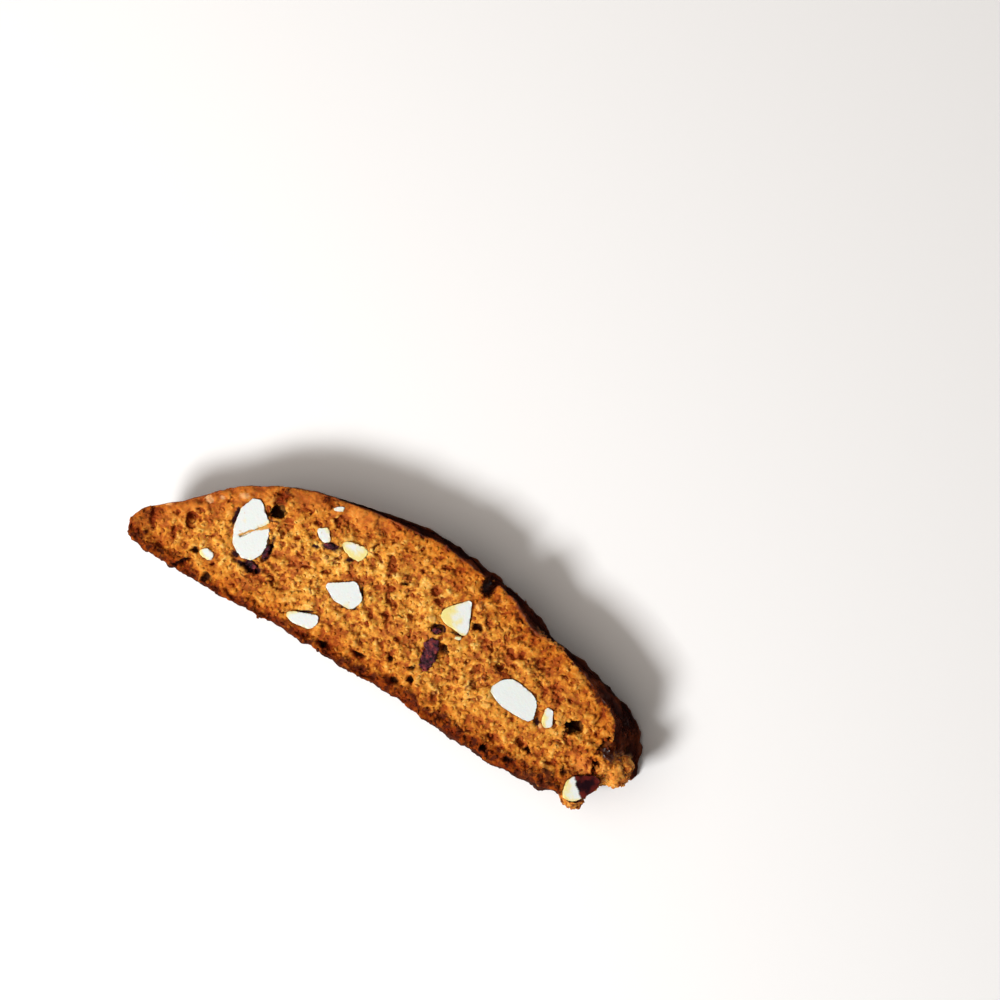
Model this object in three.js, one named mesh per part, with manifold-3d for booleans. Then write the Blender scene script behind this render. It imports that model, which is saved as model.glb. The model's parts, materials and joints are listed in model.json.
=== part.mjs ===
// Almond spice biscuit: one slice of a twice-baked loaf, cut on the slant and lying on a cut side.
// Millimetres, +Z up. X runs along the slice from its pointed nose, Y from the loaf's flat base to
// its domed top, and Z through the slice, from the cut side that it lies on to the one that shows.
import * as THREE from "three";
import { ImprovedNoise } from "three/addons/math/ImprovedNoise.js";
import { mergeVertices } from "three/addons/utils/BufferGeometryUtils.js";
import Module from "manifold-3d";

const wasm = await Module();
wasm.setup();

// The slice. The knife crosses the loaf at a slant, so the lower cut side lies further along X than
// the upper one. At the blunt end the worn toe leans out less than that, and the shoulder more.
const THICKNESS = 16;
const SLANT = 6;
const TOE_LEAN = 0.2;
const SHOULDER_LEAN = 8.2;
const BLUNT_END_FROM = 0.85;
const TOE_SHARE = [0.12, 0.6];
// The loaf also sinks towards its blunt end: the lower cut side lies higher at the nose's half of
// the slice, and lower at the other.
const LEAN_UP = { nose: 0.9, end: -0.3, from: 0.55, to: 0.75 };

// The upper cut side's outline, as [along, up] from the nose's tip and the base line.
// Four sides meet at four corners.
const HEEL = [2.2, 0.4];
const TOE = [106.2, 0.8];
const SHOULDER = [104.6, 19.2];
const BROW = [1.2, 7.4];
const BASE_LINE = [HEEL, [26, 0.6], [52, 0.8], [74, 0.2], [88, -0.6], [95, 0], [101, 1.7], TOE];
const NOSE_LINE = [HEEL, [0, 3.4], BROW];
const END_LINE = [TOE, [107.7, 5.5], [107.2, 12.5], SHOULDER];
const DOME_LINE = [
  BROW, [8, 13.6], [15, 20.4], [22.5, 25.6], [33, 29], [44, 31.1], [56, 32], [66, 31.2],
  [75.5, 29.4], [81, 26.8], [88, 26.4], [96, 24.1], [101, 21.7], SHOULDER,
];

// The blank is a box of cells laid over that outline, about 1.7 mm apart.
const CELLS_ALONG = 63;
const CELLS_UP = 18;
const CELLS_THROUGH = 8;

// Relief of a cut side: pits go in from the knife's plane, and the rim crumbles.
const COARSE_PIT = { span: 4.6, depth: 0.9 };
const FINE_PIT = { span: 2.1, depth: 0.5 };
const PIT_FROM = 0;
const PIT_FULL = 0.45;
const RIM_CRUMBLE = { span: 3.2, depth: 1, from: -0.1, full: 0.5 };
const RIM_SHARE = 0.07;

// Relief of the crust, in and out from the outline. The base is rougher than the dome.
const CRUST_LUMP = { span: 11, height: 0.8 };
const CRUST_CRAG = { span: 3.2, height: 0.7 };
const DOME_SMOOTHNESS = 0.6;
const WALL_SHARE = 0.22;

// Holes in the crumb, as [along, up, radius along, radius up, depth], measured on their own side.
const UPPER_HOLES = [
  [98.3, 14.3, 1.9, 1.2, 3.2], [25.2, 20.7, 1.2, 1.4, 2.6], [11.3, 10.4, 1.1, 1.4, 2.2],
  [79.2, 17.2, 1.5, 1.0, 1.6], [71.5, 7.6, 1.3, 0.8, 1.4], [46.5, 4.2, 1.2, 0.8, 1.5],
  [64.6, 17.2, 1.5, 1.0, 1.8], [90.4, 6.2, 1.3, 0.9, 1.6],
];
const LOWER_HOLES = [
  [18.5, 17.5, 1.6, 1.3, 2.6], [45.6, 12.4, 1.2, 1.6, 2.2], [72.4, 24.2, 1.7, 1.1, 2.4],
  [100.2, 15.6, 1.3, 1.2, 2], [59.2, 4.6, 1.5, 1, 1.6], [87.6, 5.2, 1.1, 1.4, 1.8],
];
// Balls that bite into the crust: the crack beside the dome's highest part, the dent where a flake
// has left the blunt end, the notch below that, and two pits in the base.
const CRUST_BITES = [
  { middle: [69.4, 31.8, 12.5], radii: [1.5, 3.2, 6.5] },
  { middle: [107.8, 14.3, 16], radii: [2.8, 2, 3.2] },
  { middle: [109.6, 6.9, 12], radii: [1.6, 1, 4.4] },
  { middle: [36.4, -0.6, 9.5], radii: [2.2, 1.4, 1.7] },
  { middle: [81.7, -1, 6], radii: [1.6, 1.5, 2.4] },
];
// Torn crumb that stands out of the crust at the blunt end.
const TORN_LUMPS = [
  { middle: [109.2, 10.5, 9.4], radii: [4, 3.4, 5.6] },
  { middle: [105.4, 1.3, 10.6], radii: [2.7, 1.9, 4.8] },
  { middle: [98.1, 0.9, 12.4], radii: [1.9, 1.4, 3.2] },
];
const LUMP_DETAIL = 2;
const BITE_DETAIL = 1;
const RAGGED = { span: 2.3, height: 0.3 };

// Chopped almond. Each cut is a piece's corners about its own middle, and how deep it goes.
const CUTS = {
  half: {
    corners: [
      [-2.5, 6.9], [0.5, 5.2], [3.8, 0.8], [4.6, -2.4], [2.5, -5.6], [-1.2, -4.6], [-3, -1.2], [-3.9, 3.2],
    ],
    rounding: 1.2, depth: 5,
  },
  lens: {
    corners: [
      [-5.3, -0.9], [-3.8, 2], [-1.9, 3], [2.8, 2.3], [4.3, 1.3], [5.3, -2.3], [3.2, -2.8], [-1.6, -2.7],
      [-4, -1.8],
    ],
    rounding: 0.6, depth: 4,
  },
  block: {
    corners: [[-4.3, -0.2], [0.8, 3.3], [3.8, 0.8], [2.8, -1.9], [-1.2, -2]],
    rounding: 0.5, depth: 3.5,
  },
  wedge: {
    corners: [[-3.2, -1.2], [-2.8, 0.4], [0.7, 4.2], [3.4, -1.8], [3, -2.6], [-2.2, -2.2]],
    rounding: 0.5, depth: 4,
  },
  sliver: {
    corners: [[-3.5, -0.8], [-2.7, 0.2], [2.4, 2.2], [2.7, 0.4], [2.2, -0.9], [-1.6, -1.5]],
    rounding: 0.4, depth: 2.8,
  },
  nib: {
    corners: [[-3.1, 0], [-1.8, 1], [1.5, 1.6], [2.3, 0.9], [1.8, -1.1], [0.7, -1.5], [-1.2, -1.2]],
    rounding: 0.5, depth: 2.5,
  },
  chip: {
    corners: [[-1.7, 0.5], [0, 1.5], [1.6, -0.4], [0.6, -1.2], [-0.8, -0.5]],
    rounding: 0.3, depth: 2,
  },
  splinter: {
    corners: [[-1.2, 1.9], [0, 1.9], [1.5, -1], [0.4, -1.9], [-0.7, -0.9]],
    rounding: 0.3, depth: 2.4,
  },
  crumbled: {
    corners: [[-1.7, -0.2], [-0.8, 0.8], [0.9, 0.6], [1.4, -0.5], [0, -0.9]],
    rounding: 0.3, depth: 1.8,
  },
  skin: {
    corners: [[-1.7, 2.6], [0.4, 3.4], [1.4, -0.5], [1.5, -3.1], [-0.2, -3.4], [-0.9, -0.9]],
    rounding: 0.5, depth: 2.2,
  },
  corner: {
    corners: [
      [-2.9, -1.2], [-2.9, 0.5], [-1.7, 1.7], [1.9, 3.8], [3, 2.3], [1.9, -0.3], [0.5, -2.7], [-1.3, -3.5],
      [-2.6, -2.9],
    ],
    rounding: 0.7, depth: 5,
  },
};
// Where each lies on its own side, its turn in degrees and its size against the cut.
const UPPER_ALMONDS = [
  { cut: "half", along: 22.4, up: 14.6, turn: 0, size: 1 },
  { cut: "block", along: 45, up: 13.4, turn: 0, size: 1 },
  { cut: "sliver", along: 40.5, up: 4.8, turn: 0, size: 1 },
  { cut: "chip", along: 35.5, up: 21.4, turn: 0, size: 1 },
  { cut: "nib", along: 42.5, up: 21.9, turn: 0, size: 1 },
  { cut: "wedge", along: 66.8, up: 21.2, turn: 0, size: 1 },
  { cut: "skin", along: 65.7, up: 11.9, turn: 0, size: 1 },
  { cut: "lens", along: 85, up: 13.2, turn: 0, size: 1 },
  { cut: "splinter", along: 92.7, up: 13, turn: 0, size: 1 },
  { cut: "crumbled", along: 17.4, up: 6.2, turn: 0, size: 1 },
  { cut: "corner", along: 105.5, up: 4.5, turn: 0, size: 1 },
];
const LOWER_ALMONDS = [
  { cut: "lens", along: 26, up: 12.6, turn: 38, size: 0.95 },
  { cut: "half", along: 82, up: 14.4, turn: -62, size: 0.9 },
  { cut: "block", along: 53, up: 19.6, turn: 155, size: 1 },
  { cut: "wedge", along: 95, up: 10.2, turn: 80, size: 0.85 },
  { cut: "sliver", along: 38.4, up: 6, turn: 190, size: 1 },
  { cut: "nib", along: 66.4, up: 8, turn: 30, size: 1 },
  { cut: "block", along: 36, up: 23.4, turn: -30, size: 0.7 },
  { cut: "chip", along: 11.6, up: 6.4, turn: 0, size: 1.1 },
  { cut: "splinter", along: 63, up: 26, turn: 60, size: 1.1 },
  { cut: "crumbled", along: 88.4, up: 21.6, turn: 20, size: 1.1 },
];
const ALMOND_PROUD = 0.2;
const ALMOND_SUNK = 0.1;
const ALMOND_TAPER = 0.4;
const ALMOND_STEPS = 2;
const POCKET_GAP = 0.4;
const POCKET_MOUTH = 2;
// The natural cleft between the halves of the largest piece.
const CLEFT = { from: [-1.4, -2.2], to: [3.4, 4.6], width: 0.6, depth: 0.7 };

const CRUMB_COLOUR = "#b9712d";
const KERNEL_COLOUR = "#f0e7d2";
const SKIN_COLOUR = "#5a2722";

const perlin = new ImprovedNoise();

// Noise from -1 to 1 whose waves are about `span` long.
function waves(x, y, z, span) {
  return perlin.noise(x / span + 31.4, y / span + 17.8, z / span + 5.2);
}

const boundary = (points) =>
  new THREE.CatmullRomCurve3(points.map(([x, y]) => new THREE.Vector3(x, y, 0)), false, "centripetal");
const base = boundary(BASE_LINE);
const dome = boundary(DOME_LINE);
const nose = boundary(NOSE_LINE);
const end = boundary(END_LINE);

// A point inside the outline, blended from its four sides: s runs along and t up, from 0 to 1.
function insideOutline(s, t) {
  const point = new THREE.Vector3();
  const corners = [[HEEL, (1 - s) * (1 - t)], [TOE, s * (1 - t)], [BROW, (1 - s) * t], [SHOULDER, s * t]];
  point.addScaledVector(base.getPointAt(s), 1 - t);
  point.addScaledVector(dome.getPointAt(s), t);
  point.addScaledVector(nose.getPointAt(t), 1 - s);
  point.addScaledVector(end.getPointAt(t), s);
  for (const [[x, y], share] of corners) point.sub(new THREE.Vector3(x, y, 0).multiplyScalar(share));
  return point;
}

// How far the surface lies below the knife's plane, for each side of the slice: 1 above and -1 below.
// The rim is 1 at the crust, where the crumb has broken away, and 0 from a little way in.
function pitDepth(x, y, side, rim) {
  const pit = ({ span, depth, from = PIT_FROM, full = PIT_FULL }) =>
    depth * THREE.MathUtils.smoothstep(waves(x, y, side * 40, span), from, full);
  return (pit(COARSE_PIT) + pit(FINE_PIT)) * (1 - rim) + pit(RIM_CRUMBLE) * rim;
}

// How far the lower cut side lies from the upper one, along and up, at a place inside the outline.
function lean(s, t) {
  const { lerp, smoothstep } = THREE.MathUtils;
  const endLean = lerp(TOE_LEAN, SHOULDER_LEAN, smoothstep(t, ...TOE_SHARE));
  return {
    along: lerp(SLANT, endLean, smoothstep(s, BLUNT_END_FROM, 1)),
    up: lerp(LEAN_UP.nose, LEAN_UP.end, smoothstep(s, LEAN_UP.from, LEAN_UP.to)),
  };
}

// 1 on the wall of the slice and 0 from `share` of the way in.
const nearWall = (value, share) => 1 - THREE.MathUtils.smoothstep(Math.min(value, 1 - value), 0, share);

// The slice without its almonds, holes and cracks: a box of cells bent to the outline.
function sliceBlank() {
  const box = new THREE.BoxGeometry(1, 1, 1, CELLS_ALONG, CELLS_UP, CELLS_THROUGH);
  const position = box.getAttribute("position");
  for (let i = 0; i < position.count; i++) {
    const s = position.getX(i) + 0.5;
    const t = position.getY(i) + 0.5;
    const w = position.getZ(i) + 0.5;
    const { x, y } = insideOutline(s, t);
    const { along, up } = lean(s, t);
    const crust = CRUST_LUMP.height * waves(x, y, w * THICKNESS, CRUST_LUMP.span)
      + CRUST_CRAG.height * (1 - DOME_SMOOTHNESS * t) * waves(x, y, w * THICKNESS, CRUST_CRAG.span);
    const rim = Math.max(nearWall(t, RIM_SHARE), nearWall(s, RIM_SHARE / 3));
    const top = THICKNESS - pitDepth(x, y, 1, rim);
    const bottom = pitDepth(x, y, -1, rim);
    position.setXYZ(
      i,
      x + along * (1 - w) + crust * nearWall(s, WALL_SHARE / 4) * Math.sign(s - 0.5),
      y + up * (1 - w) + crust * nearWall(t, WALL_SHARE) * Math.sign(t - 0.5),
      THREE.MathUtils.lerp(bottom, top, w),
    );
  }
  return solid(box);
}

// A closed three.js geometry as a solid that can be joined and cut.
function solid(geometry) {
  const bare = geometry.clone();
  for (const name of Object.keys(bare.attributes)) if (name !== "position") bare.deleteAttribute(name);
  const merged = mergeVertices(bare, 1e-3);
  return new wasm.Manifold(new wasm.Mesh({
    numProp: 3,
    vertProperties: new Float32Array(merged.getAttribute("position").array),
    triVerts: new Uint32Array(merged.index.array),
  }));
}

// A solid as a named three.js mesh.
function meshOf(name, body, colour, roughness) {
  const { numProp, vertProperties, triVerts } = body.getMesh();
  const geometry = new THREE.BufferGeometry();
  const points = new Float32Array((vertProperties.length / numProp) * 3);
  for (let i = 0; i < points.length / 3; i++) {
    points.set(vertProperties.subarray(i * numProp, i * numProp + 3), i * 3);
  }
  geometry.setAttribute("position", new THREE.BufferAttribute(points, 3));
  geometry.setIndex(new THREE.BufferAttribute(new Uint32Array(triVerts), 1));
  geometry.computeVertexNormals();
  const material = new THREE.MeshStandardMaterial({ color: colour, roughness, flatShading: true });
  const mesh = new THREE.Mesh(geometry, material);
  mesh.name = name;
  return mesh;
}

// A ball stretched to three radii, with a ragged surface.
function raggedBall({ middle, radii }, detail) {
  const ball = new THREE.IcosahedronGeometry(1, detail);
  const position = ball.getAttribute("position");
  const reach = new THREE.Vector3(...radii);
  const centre = new THREE.Vector3(...middle);
  for (let i = 0; i < position.count; i++) {
    const point = new THREE.Vector3().fromBufferAttribute(position, i);
    const { x, y, z } = point.clone().multiply(reach).add(centre);
    const swell = 1 + RAGGED.height * waves(x, y, z, RAGGED.span);
    position.setXYZ(i, ...point.multiplyScalar(swell).multiply(reach).add(centre));
  }
  return solid(ball);
}

// Where a place on the upper or the lower cut side lies in the part.
const onUpper = (along, up) => [along, up, THICKNESS];
const onLower = (along, up) => [along + SLANT, up, 0];

// A hole whose mouth is on a cut side.
function hole([along, up, ...radii], place) {
  return raggedBall({ middle: place(along, up), radii }, BITE_DETAIL);
}

// A cut's outline with rounded corners, moved out by `gap`.
function cutOutline({ corners, rounding }, size, gap) {
  const points = corners.map(([x, y]) => new THREE.Vector2(x, y).multiplyScalar(size));
  const rounded = points.flatMap((corner, i) => {
    const towards = (other) => {
      const step = other.clone().sub(corner);
      return step.setLength(Math.min(rounding, step.length() * 0.4)).add(corner);
    };
    const before = towards(points.at(i - 1));
    const after = towards(points[(i + 1) % points.length]);
    return [before, after];
  });
  const turn = Math.sign(THREE.ShapeUtils.area(rounded));
  return rounded.map((point, i) => {
    const along = rounded[(i + 1) % rounded.length].clone().sub(rounded.at(i - 1)).normalize();
    return point.clone().add(new THREE.Vector2(along.y, -along.x).multiplyScalar(gap * turn));
  });
}

// A piece of almond with its cut face at z = rise, narrowing to its depth below. A pocket for it is
// the same shape with a gap all round.
function almondSolid(cut, size, gap, rise) {
  const depth = cut.depth * size + gap;
  const height = depth + rise;
  const shape = new THREE.Shape(cutOutline(cut, size, gap));
  const block = new THREE.ExtrudeGeometry(shape, { depth: height, steps: ALMOND_STEPS, bevelEnabled: false });
  const position = block.getAttribute("position");
  for (let i = 0; i < position.count; i++) {
    const z = position.getZ(i) - depth;
    const narrow = 1 - ALMOND_TAPER * Math.max(0, -z / depth) ** 2;
    position.setXYZ(i, position.getX(i) * narrow, position.getY(i) * narrow, z);
  }
  return solid(block);
}

// Turns a piece about Z and sets it into its cut side. One that lies underneath is turned over first.
function placed(body, { along, up, turn }, isUpper) {
  const facing = isUpper ? body : body.rotate([180, 0, 0]);
  const place = isUpper ? onUpper : onLower;
  return facing.rotate([0, 0, turn]).translate(place(along, up));
}

function cleftCutter() {
  const from = new THREE.Vector2(...CLEFT.from);
  const run = new THREE.Vector2(...CLEFT.to).sub(from);
  const blade = new THREE.BoxGeometry(run.length(), CLEFT.width, 2 * CLEFT.depth);
  const middle = from.addScaledVector(run, 0.5);
  blade.rotateZ(run.angle()).translate(middle.x, middle.y, ALMOND_PROUD);
  return solid(blade);
}

function almondMesh(item, index, isUpper) {
  const cut = CUTS[item.cut];
  const whole = almondSolid(cut, item.size, 0, isUpper ? ALMOND_PROUD : -ALMOND_SUNK);
  const isCleft = item.cut === "half" && isUpper;
  const body = placed(isCleft ? whole.subtract(cleftCutter()) : whole, item, isUpper);
  const name = `almond_${isUpper ? "upper" : "lower"}_${String(index + 1).padStart(2, "0")}_${item.cut}`;
  return meshOf(name, body, item.cut === "skin" ? SKIN_COLOUR : KERNEL_COLOUR, 0.55);
}

function pocket(item, isUpper) {
  return placed(almondSolid(CUTS[item.cut], item.size, POCKET_GAP, POCKET_MOUTH), item, isUpper);
}

function biscuitMesh() {
  let body = sliceBlank();
  for (const item of TORN_LUMPS) body = body.add(raggedBall(item, LUMP_DETAIL));
  const cutters = [
    ...UPPER_HOLES.map((item) => hole(item, onUpper)),
    ...LOWER_HOLES.map((item) => hole(item, onLower)),
    ...CRUST_BITES.map((item) => raggedBall(item, BITE_DETAIL)),
    ...UPPER_ALMONDS.map((item) => pocket(item, true)),
    ...LOWER_ALMONDS.map((item) => pocket(item, false)),
  ];
  for (const cutter of cutters) body = body.subtract(cutter);
  return meshOf("biscuit", body, CRUMB_COLOUR, 0.85);
}

const slice = new THREE.Group();
slice.add(biscuitMesh());
UPPER_ALMONDS.forEach((item, i) => slice.add(almondMesh(item, i, true)));
LOWER_ALMONDS.forEach((item, i) => slice.add(almondMesh(item, i, false)));

// The origin is at the middle of the whole's box, on the plane that the slice lies on.
const middle = new THREE.Box3().setFromObject(slice).getCenter(new THREE.Vector3());
slice.position.set(-middle.x, -middle.y, 0);

export default slice;
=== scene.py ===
"""Looks of an almond spice biscuit: one slanted slice of a twice-baked loaf, lying on a cut side.

The solids give each piece's place and form. Here the crumb gets its pores and grains, the crust its
glaze and the almonds their cut faces and skins. Places on the slice are given in millimetres from
its heel: how far along its base they lie, and how far up towards its dome.
"""

import json
import logging
import math
from collections.abc import Callable
from dataclasses import dataclass, field
from enum import Enum
from functools import partial

import bpy
from mathutils import Matrix, Vector

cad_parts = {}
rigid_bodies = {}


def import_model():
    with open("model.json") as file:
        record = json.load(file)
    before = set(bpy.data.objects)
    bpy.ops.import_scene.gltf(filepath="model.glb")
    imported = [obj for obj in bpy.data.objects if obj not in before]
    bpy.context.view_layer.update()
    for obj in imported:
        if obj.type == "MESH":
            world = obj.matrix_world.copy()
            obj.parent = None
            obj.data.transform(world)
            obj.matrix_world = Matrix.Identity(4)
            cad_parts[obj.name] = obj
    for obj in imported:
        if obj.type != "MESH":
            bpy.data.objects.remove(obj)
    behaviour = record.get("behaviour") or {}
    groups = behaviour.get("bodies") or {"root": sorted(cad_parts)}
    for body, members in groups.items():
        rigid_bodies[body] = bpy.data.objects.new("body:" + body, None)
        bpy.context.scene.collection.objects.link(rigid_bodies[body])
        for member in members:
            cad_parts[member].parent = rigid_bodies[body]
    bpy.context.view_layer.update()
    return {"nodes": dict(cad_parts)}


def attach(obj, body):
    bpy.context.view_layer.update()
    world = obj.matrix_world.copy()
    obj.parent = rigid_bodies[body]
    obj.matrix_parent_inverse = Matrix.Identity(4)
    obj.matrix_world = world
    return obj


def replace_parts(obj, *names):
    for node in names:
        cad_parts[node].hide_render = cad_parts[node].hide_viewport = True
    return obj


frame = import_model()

MM = 0.001
FACE_MM = 16.0
TOP_MM = 17.0
SPOT_EDGE = (0.7, 1.25)
HEEL_MM = (-57.874, -15.93)
LOG = logging.getLogger("almond_biscuit")

# Kinds of node, and the settings that many of them share: MADD multiplies, then adds its third input
MATH = "ShaderNodeMath"
VECTOR = "ShaderNodeVectorMath"
RANGE = "ShaderNodeMapRange"
NOISE = "ShaderNodeTexNoise"
MIX = "ShaderNodeMix"
SPLIT = "ShaderNodeSeparateXYZ"
JOIN = "ShaderNodeCombineXYZ"
RAMP = "ShaderNodeValToRGB"
BUMP = "ShaderNodeBump"
KEPT = "ShaderNodeAttribute"
HELD = "GeometryNodeInputNamedAttribute"
STORE = "GeometryNodeStoreNamedAttribute"
MOVE = "GeometryNodeSetPosition"
RANDOM = "FunctionNodeRandomValue"
STEP = {"interpolation_type": "SMOOTHSTEP"}
PLUS = {"operation": "ADD"}
MINUS = {"operation": "SUBTRACT"}
TIMES = {"operation": "MULTIPLY"}
MADD = {"operation": "MULTIPLY_ADD"}
HIGHEST = {"operation": "MAXIMUM"}
LOWEST = {"operation": "MINIMUM"}
SCALE = {"operation": "SCALE"}
DOT = {"operation": "DOT_PRODUCT"}
COLOUR = {"data_type": "RGBA"}
NUMBER = {"data_type": "FLOAT"}

Piece = bpy.types.Object
Material = bpy.types.Material
Tree = bpy.types.NodeTree
Node = bpy.types.Node
Socket = bpy.types.NodeSocket
Pair = tuple[float, float]
Triple = tuple[float, float, float]
Feed = Socket | Node | float | tuple | str
Adder = Callable[..., Node]


def linear(code: str) -> tuple[float, float, float, float]:
    """Turns an sRGB hex colour into linear light.

    Args:
        code: The colour, such as "#c4802f".

    Returns:
        Red, green, blue and an alpha of 1.
    """
    parts = [int(code[i:i + 2], 16) / 255 for i in (1, 3, 5)]
    return (*[p / 12.92 if p <= 0.04045 else ((p + 0.055) / 1.055) ** 2.4 for p in parts], 1.0)


def feed(socket: Socket, value: Feed) -> None:
    """Gives an input its value, or links it to the socket, or the node's first shown output, that feeds it.

    Args:
        socket: The input.
        value: The value, the socket or the node.
    """
    if isinstance(value, Node):
        value = next(output for output in value.outputs if output.enabled)
    if isinstance(value, Socket):
        socket.id_data.links.new(value, socket)
    else:
        socket.default_value = value


def add_node(
    tree: Tree, kind: str, *values: Feed, named: dict[str, Feed] | None = None,
    stops: dict[float, str] | None = None, **settings: object
) -> Node:
    """Adds a node with its settings and links.

    Args:
        tree: The tree of a material or of geometry nodes.
        kind: The node's type, such as MATH.
        values: What feeds its inputs, in the order in which the node shows them.
        named: The same for inputs that are given by name.
        stops: For a ramp, the colour at each place of its scale, from low to high.
        settings: The node's own properties.

    Returns:
        The new node.
    """
    node = tree.nodes.new(kind)
    for name, value in settings.items():
        setattr(node, name, value)
    for index, (position, code) in enumerate((stops or {}).items()):
        elements = node.color_ramp.elements
        element = elements[index] if index < 2 else elements.new(position)
        element.position, element.color = position, linear(code)
    shown = [socket for socket in node.inputs if socket.enabled]
    by_name = [(node.inputs[name], value) for name, value in (named or {}).items()]
    for socket, value in [*zip(shown, values), *by_name]:
        feed(socket, value)
    return node


def start_finish(name: str) -> tuple[Material, Adder]:
    """Starts a material.

    Args:
        name: What the real surface is.

    Returns:
        The material, and what adds a node to it.
    """
    made = bpy.data.materials.new(name)
    made.use_nodes = True
    return made, partial(add_node, made.node_tree)


def end_finish(made: Material, inputs: dict[str, Feed]) -> Material:
    """Feeds a material's shader.

    Args:
        made: The material.
        inputs: What feeds the shader, by the input's name.

    Returns:
        The same material.
    """
    shader = made.node_tree.nodes["Principled BSDF"]
    for name, value in inputs.items():
        feed(shader.inputs[name], value)
    return made


def here_mm(add: Adder) -> Node:
    """Returns the node of each point's place in millimetres."""
    return add(VECTOR, add("GeometryNodeInputPosition"), 1 / MM, **SCALE)


def deselect_all() -> None:
    """Leaves object mode with nothing selected."""
    if bpy.context.object and bpy.context.object.mode != "OBJECT":
        bpy.ops.object.mode_set(mode="OBJECT")
    bpy.ops.object.select_all(action="DESELECT")


def pick(*pieces: Piece) -> Piece:
    """Selects some pieces alone and makes the first the active one.

    Args:
        pieces: The pieces.

    Returns:
        The first.
    """
    deselect_all()
    for piece in pieces:
        piece.select_set(True)
    bpy.context.view_layer.objects.active = pieces[0]
    return pieces[0]


def copy_of_node(node: str, name: str) -> Piece:
    """Makes a new piece from a copy of a solid's mesh, with its doubles merged.

    Args:
        node: The solid's name.
        name: The new piece's name.

    Returns:
        The piece.
    """
    piece = bpy.data.objects.new(name, frame["nodes"][node].data.copy())
    piece.data.name = name
    piece.data.materials.clear()
    bpy.context.scene.collection.objects.link(piece)
    pick(piece)
    bpy.ops.object.mode_set(mode="EDIT")
    bpy.ops.mesh.select_all(action="SELECT")
    bpy.ops.mesh.remove_doubles(threshold=0.001 * MM)
    bpy.ops.object.mode_set(mode="OBJECT")
    return piece


def finish_modifier(piece: Piece, kind: str, **settings: object) -> None:
    """Adds a modifier to a piece and applies it.

    Args:
        piece: The piece.
        kind: The modifier's type.
        settings: The modifier's properties.
    """
    pick(piece)
    modifier = piece.modifiers.new(kind.title(), kind)
    for name, value in settings.items():
        setattr(modifier, name, value)
    bpy.ops.object.modifier_apply(modifier=modifier.name)


def select_faces(piece: Piece, wanted: list[bool]) -> None:
    """Goes into edit mode with the wanted faces selected.

    Args:
        piece: The piece.
        wanted: True for each face that is selected.
    """
    pick(piece)
    bpy.ops.object.mode_set(mode="EDIT")
    bpy.ops.mesh.select_mode(type="FACE")
    bpy.ops.mesh.select_all(action="DESELECT")
    bpy.ops.object.mode_set(mode="OBJECT")
    piece.data.polygons.foreach_set("select", wanted)
    bpy.ops.object.mode_set(mode="EDIT")


def dress(piece: Piece, finish: Material) -> Piece:
    """Smooths a finished piece's shading, gives it its material and ties it to the biscuit.

    Args:
        piece: The piece.
        finish: Its material.

    Returns:
        The same piece.
    """
    pick(piece)
    bpy.ops.object.shade_smooth()
    piece.data.materials.clear()
    piece.data.materials.append(finish)
    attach(piece, "root")
    return piece


def geometry_tree(name: str) -> tuple[Tree, Adder, Node, Node]:
    """Starts a tree of geometry nodes.

    Args:
        name: The tree's name.

    Returns:
        The tree, what adds a node to it, the node that the mesh comes from, and the one that takes the result.
    """
    tree = bpy.data.node_groups.new(name, "GeometryNodeTree")
    for way in ("INPUT", "OUTPUT"):
        tree.interface.new_socket("Geometry", in_out=way, socket_type="NodeSocketGeometry")
    add = partial(add_node, tree)
    return tree, add, add("NodeGroupInput"), add("NodeGroupOutput")


def keep_on_mesh(add: Adder, mesh: Feed, numbers: dict[str, Feed]) -> Feed:
    """Stores numbers, and each point's resting place in millimetres, for the finish to read.

    Args:
        add: Adds a node.
        mesh: What gives the mesh.
        numbers: Each number by its name.

    Returns:
        What gives the mesh from here on.
    """
    place = here_mm(add)
    for name, value in {"rest_mm": place, **numbers}.items():
        kind = "FLOAT_VECTOR" if name == "rest_mm" else "FLOAT"
        mesh = add(STORE, data_type=kind, domain="POINT", named={"Geometry": mesh, "Name": name, "Value": value})
    return mesh


def end_moved(add: Adder, mesh: Feed, offset: Feed, result: Node, high_mm: float = TOP_MM) -> None:
    """Ends a tree with its mesh moved, and flat where it would pass the table or an upper level.

    Args:
        add: Adds a node.
        mesh: What gives the mesh.
        offset: How far each point moves, in metres.
        result: The node that takes the result.
        high_mm: The upper level, in millimetres.
    """
    moved = add(MOVE, named={"Geometry": mesh, "Offset": offset})
    axes = add(SPLIT, add("GeometryNodeInputPosition"))
    level = add(MATH, axes.outputs["Z"], high_mm * MM, **LOWEST)
    level = add(MATH, level, 0.0, **HIGHEST)
    inside = add(JOIN, axes.outputs["X"], axes.outputs["Y"], level)
    feed(result.inputs[0], add(MOVE, named={"Geometry": moved, "Position": inside}))


def on_slice(along: float, up: float, level: float) -> Triple:
    """Returns a place of the slice in the frame, in millimetres: from its heel along, up and above the table."""
    return (HEEL_MM[0] + along, HEEL_MM[1] + up, level)


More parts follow.
